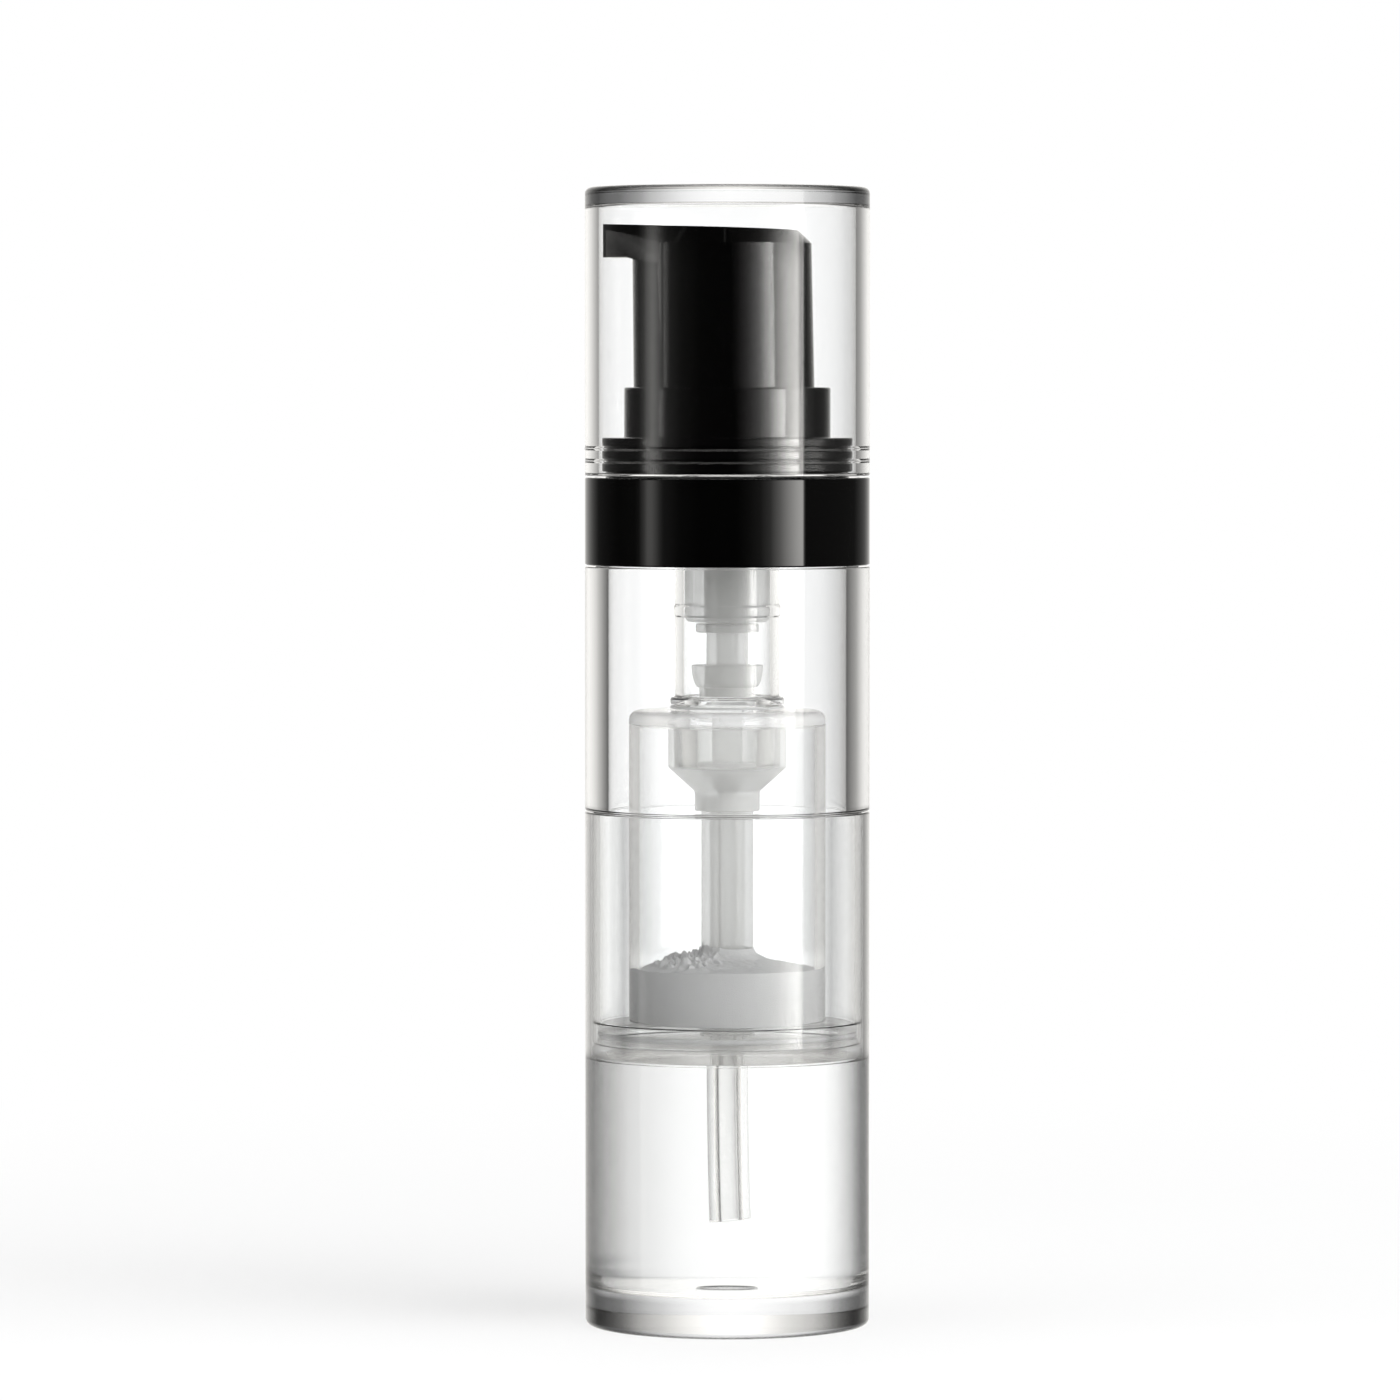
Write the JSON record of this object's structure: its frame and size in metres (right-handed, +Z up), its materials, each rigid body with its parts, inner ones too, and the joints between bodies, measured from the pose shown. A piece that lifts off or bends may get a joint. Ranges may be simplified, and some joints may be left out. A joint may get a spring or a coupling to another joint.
{
  "type": "pump bottle",
  "caption": "Tall round clear bottle in two halves with a powder chamber inside, a black collar band, a black press pump with a side spout, and a clear overcap.",
  "frame": {"origin": "centre of the foot ring's underside, on the surface that the bottle stands on", "axes": "+Z up the bottle's axis towards the overcap; -X is the way the spout points"},
  "size_m": [0.033, 0.033, 0.1318],
  "materials": {
    "clear_plastic": "clear, polished",
    "black_plastic": "gloss black",
    "milky_plastic": "translucent white, satin",
    "tube_plastic": "translucent, smooth",
    "seal_rubber": "translucent, satin",
    "spring_steel": "bright drawn steel",
    "powder": "fine matt white powder"
  },
  "bodies": {
    "base": {"lower_bottle": "clear_plastic"},
    "upper": {"upper_bottle": "clear_plastic", "pump_housing": "clear_plastic", "chamber_dome": "clear_plastic", "chamber_plug": "clear_plastic", "band": "black_plastic", "collar": "black_plastic", "seal_disc": "milky_plastic", "valve_body": "milky_plastic", "valve_cage": "milky_plastic", "stem_guide": "milky_plastic", "stem_seal": "milky_plastic", "tube_sheath": "milky_plastic", "dip_tube": "tube_plastic", "plug_seal": "seal_rubber", "dome_gasket": "seal_rubber", "housing_gasket": "seal_rubber", "return_spring": "spring_steel", "powder_charge": "powder"},
    "cap": {"overcap": "clear_plastic"},
    "plunger": {"piston": "milky_plastic"},
    "head": {"actuator": "black_plastic", "stem": "milky_plastic"},
    "ball": {"inlet_ball": "spring_steel"}
  },
  "joints": [
    {"name": "halves_slide", "type": "slide", "parent": "base", "child": "upper", "axis": [0, 0, 1], "range_m": [0, 0.03]},
    {"name": "cap_slide", "type": "slide", "parent": "upper", "child": "cap", "axis": [0, 0, 1], "range_m": [0, 0.034]},
    {"name": "head_press", "type": "slide", "parent": "upper", "child": "plunger", "axis": [0, 0, 1], "range_m": [-0.0045, 0], "stiffness_N_per_m": 600, "springref_m": 0.001, "deforming": ["return_spring"]},
    {"name": "head_turn", "type": "hinge", "parent": "plunger", "child": "head", "pos_m": [0, 0, 0.1], "axis": [0, 0, 1], "continuous": true},
    {"name": "ball_lift", "type": "slide", "parent": "upper", "child": "ball", "axis": [0, 0, 1], "range_m": [0, 0.0006]}
  ]
}
